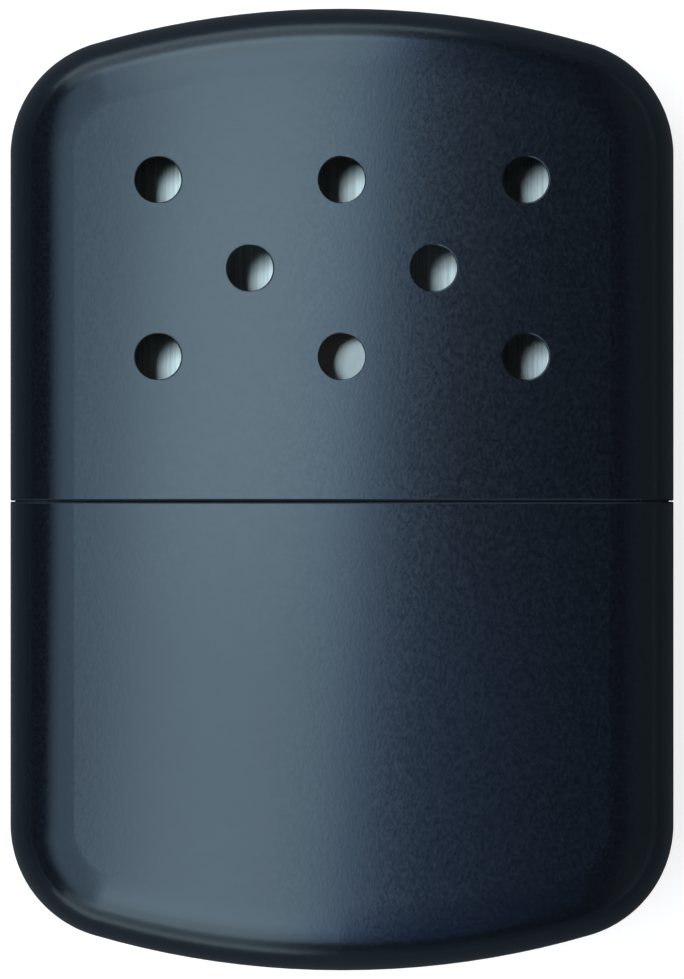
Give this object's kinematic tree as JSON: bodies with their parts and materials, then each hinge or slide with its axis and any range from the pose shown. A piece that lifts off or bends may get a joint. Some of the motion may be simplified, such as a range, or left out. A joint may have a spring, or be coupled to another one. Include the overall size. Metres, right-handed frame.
{
  "type": "catalytic hand warmer",
  "caption": "Slim pocket hand warmer: satin metal fuel tank, vented slip-on lid, and a catalyst burner that lifts off the filler neck.",
  "frame": {"origin": "centre of the case's outline, on its flat back face", "axes": "+X across the width, +Y from the tank's foot to the lid's crown, +Z out of the vented front face"},
  "size_m": [0.0684, 0.0992, 0.0136],
  "materials": {
    "case_paint": "satin blue-grey coat with a fine grain",
    "plated_steel": "nickel-plated drawn steel",
    "burner_steel": "thin stainless sheet, heat-tinted by use",
    "catalyst_fibre": "dark grey felted glass fibre",
    "felt": "pressed white felt",
    "cotton": "loose white wadding"
  },
  "bodies": {
    "tank": {"tank_shell": "case_paint", "collar_sleeve": "plated_steel", "top_plate": "plated_steel", "filler_neck": "plated_steel", "neck_wick": "felt", "cover_felt": "felt", "cotton_wadding": "cotton"},
    "lid": {"lid_shell": "case_paint"},
    "burner": {"burner_skirt": "burner_steel", "burner_shelf": "burner_steel", "burner_housing": "burner_steel", "mat_grid": "burner_steel", "catalyst_mat": "catalyst_fibre", "middle_strap": "burner_steel", "left_strap": "burner_steel", "right_strap": "burner_steel"}
  },
  "joints": [
    {"name": "lid_slide", "type": "slide", "parent": "tank", "child": "lid", "axis": [0, 1, 0], "range_m": [0, 0.03]},
    {"name": "burner_lift", "type": "slide", "parent": "tank", "child": "burner", "axis": [0, 1, 0], "range_m": [0, 0.008]}
  ]
}
